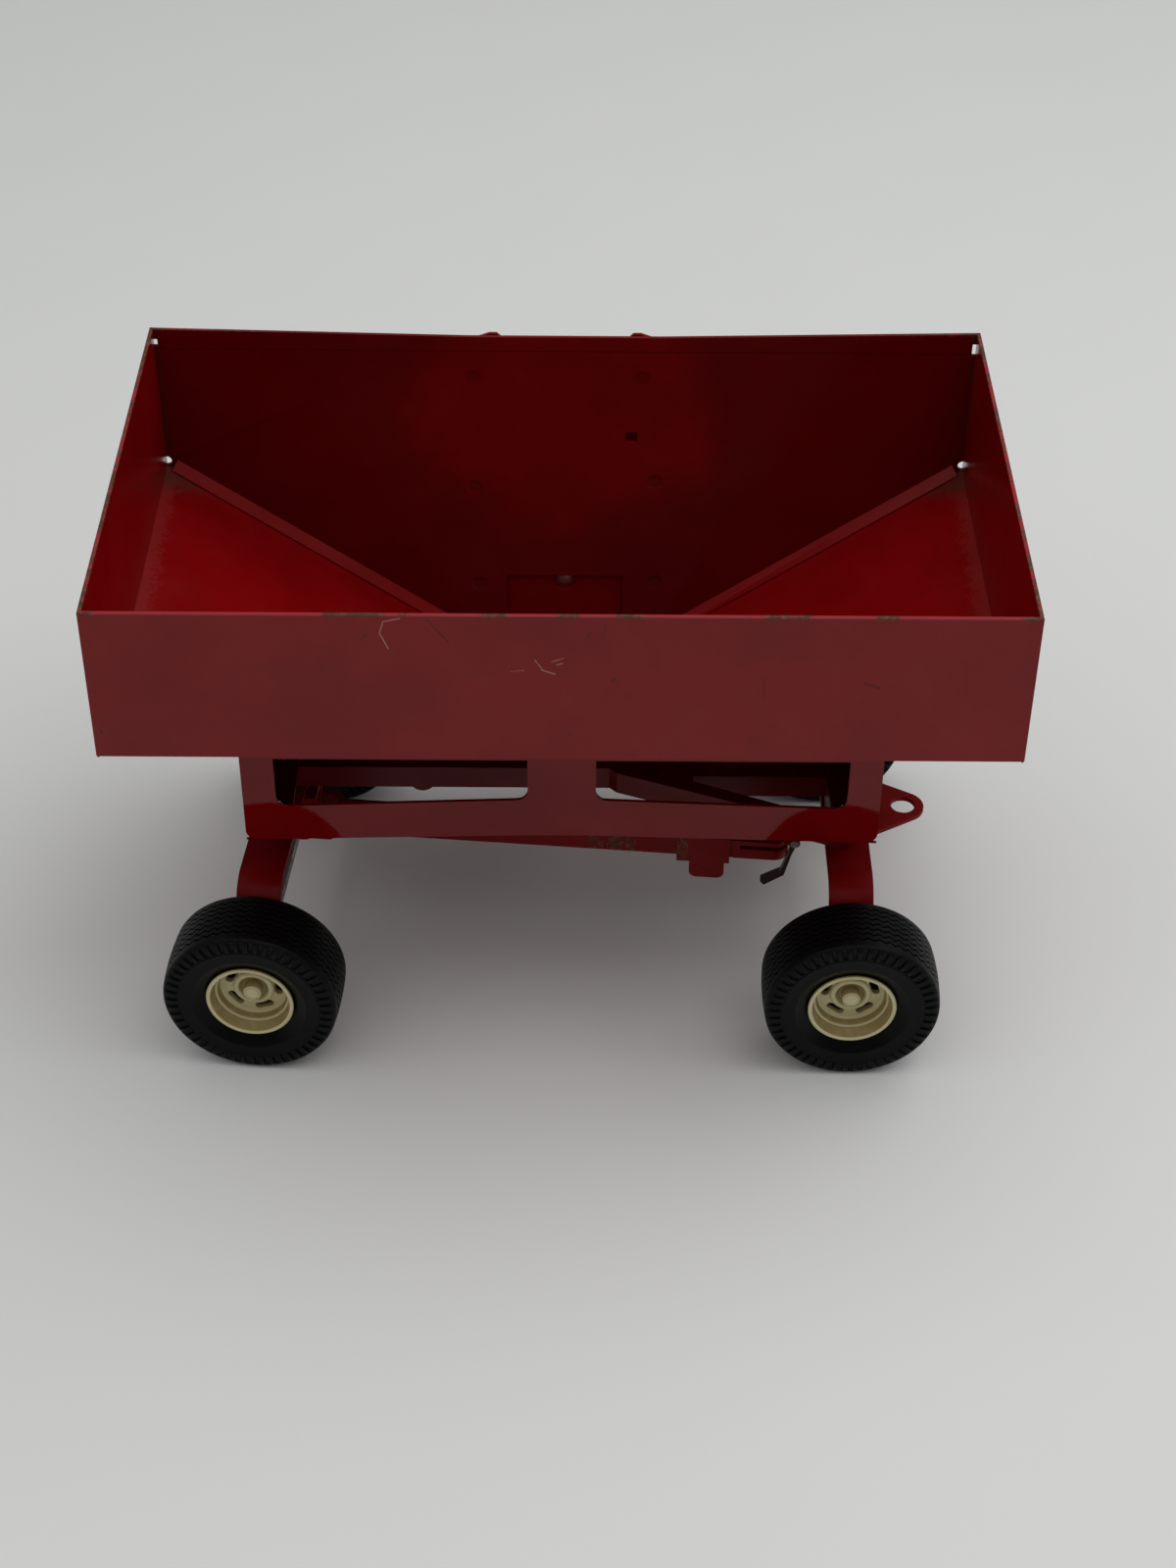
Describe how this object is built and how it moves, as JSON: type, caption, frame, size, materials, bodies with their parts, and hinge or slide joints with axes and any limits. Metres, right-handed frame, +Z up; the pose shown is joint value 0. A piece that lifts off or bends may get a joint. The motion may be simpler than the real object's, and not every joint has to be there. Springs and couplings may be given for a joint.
{
  "type": "toy gravity wagon",
  "caption": "Pressed-steel toy grain wagon: an open box with floors sloping to a sliding side door, on a stand with a turning front axle, folding tongue and free wheels.",
  "frame": {"origin": "on the ground, under the middle of the grain box", "axes": "+X points to the rear hitch, +Y to the side with the discharge door, +Z up; the tongue is folded under the wagon"},
  "size_m": [0.2286, 0.1381, 0.1535],
  "materials": {
    "red_enamel": "glossy baked enamel, chipped and rubbed along its edges",
    "cream_plastic": "aged cream plastic, satin, dust in the recesses",
    "tyre_rubber": "black rubber with a ribbed tread",
    "bare_steel": "dull bare steel"
  },
  "bodies": {
    "wagon": {"near_side_panel": "red_enamel", "near_side_floor": "red_enamel", "front_end_panel": "red_enamel", "front_end_floor": "red_enamel", "rear_end_panel": "red_enamel", "rear_end_floor": "red_enamel", "door_side_wall": "red_enamel", "front_seam_flange": "red_enamel", "rear_seam_flange": "red_enamel", "front_door_guide": "red_enamel", "rear_door_guide": "red_enamel", "outlet_lip": "red_enamel", "stand_near_panel": "red_enamel", "stand_front_gusset": "red_enamel", "stand_rear_gusset": "red_enamel", "stand_front_plate": "red_enamel", "stand_rear_plate": "red_enamel", "front_bolster_plate": "red_enamel", "rear_bolster_plate": "red_enamel", "rear_bolster": "red_enamel", "rear_bolster_rivets": "red_enamel", "reach_channel": "red_enamel", "rear_reach": "red_enamel", "near_hound": "red_enamel", "far_hound": "red_enamel", "kingpin": "bare_steel", "kingpin_spacer": "bare_steel", "rear_axle_strap": "red_enamel", "rear_axle": "bare_steel", "rear_hitch_plate": "red_enamel", "rear_near_cap": "cream_plastic", "rear_far_cap": "cream_plastic"},
    "discharge_door": {"door": "red_enamel", "door_pull": "red_enamel", "door_rivet": "bare_steel"},
    "front_axle_set": {"front_axle_strap": "red_enamel", "front_axle": "bare_steel", "front_near_cap": "cream_plastic", "front_far_cap": "cream_plastic", "tongue_bracket": "red_enamel", "tongue_pin": "bare_steel"},
    "tongue": {"tongue_yoke": "red_enamel", "tongue_bar": "red_enamel", "tongue_saddle": "red_enamel", "hitch_clevis": "red_enamel", "latch_pin": "bare_steel"},
    "latch": {"hitch_latch": "bare_steel"},
    "front_near_wheel": {"front_near_rim": "cream_plastic", "front_near_tyre": "tyre_rubber"},
    "front_far_wheel": {"front_far_rim": "cream_plastic", "front_far_tyre": "tyre_rubber"},
    "rear_near_wheel": {"rear_near_rim": "cream_plastic", "rear_near_tyre": "tyre_rubber"},
    "rear_far_wheel": {"rear_far_rim": "cream_plastic", "rear_far_tyre": "tyre_rubber"}
  },
  "joints": [
    {"name": "front_steer", "type": "hinge", "parent": "wagon", "child": "front_axle_set", "pos_m": [-0.0776, 0, 0.0475], "axis": [0, 0, 1], "continuous": true},
    {"name": "tongue_pitch", "type": "hinge", "parent": "front_axle_set", "child": "tongue", "pos_m": [-0.07262, -0.00044, 0.0361], "axis": [0.0872, 0.9962, 0], "range_deg": [-3.5, 8.5]},
    {"name": "hitch_latch_swing", "type": "hinge", "parent": "tongue", "child": "latch", "pos_m": [0.06506, -0.01248, 0.0384], "axis": [-0.0872, -0.9962, 0], "range_deg": [0, 60]},
    {"name": "front_near_wheel_spin", "type": "hinge", "parent": "front_axle_set", "child": "front_near_wheel", "pos_m": [-0.08254, -0.05648, 0.0238], "axis": [0.0872, 0.9962, 0], "continuous": true},
    {"name": "front_far_wheel_spin", "type": "hinge", "parent": "front_axle_set", "child": "front_far_wheel", "pos_m": [-0.07266, 0.05648, 0.0238], "axis": [0.0872, 0.9962, 0], "continuous": true},
    {"name": "rear_near_wheel_spin", "type": "hinge", "parent": "wagon", "child": "rear_near_wheel", "pos_m": [0.078, -0.0577, 0.0238], "axis": [0, 1, 0], "continuous": true},
    {"name": "rear_far_wheel_spin", "type": "hinge", "parent": "wagon", "child": "rear_far_wheel", "pos_m": [0.078, 0.0577, 0.0238], "axis": [0, 1, 0], "continuous": true},
    {"name": "discharge_door_slide", "type": "slide", "parent": "wagon", "child": "discharge_door", "axis": [0, 0, 1], "range_m": [0, 0.028]}
  ]
}
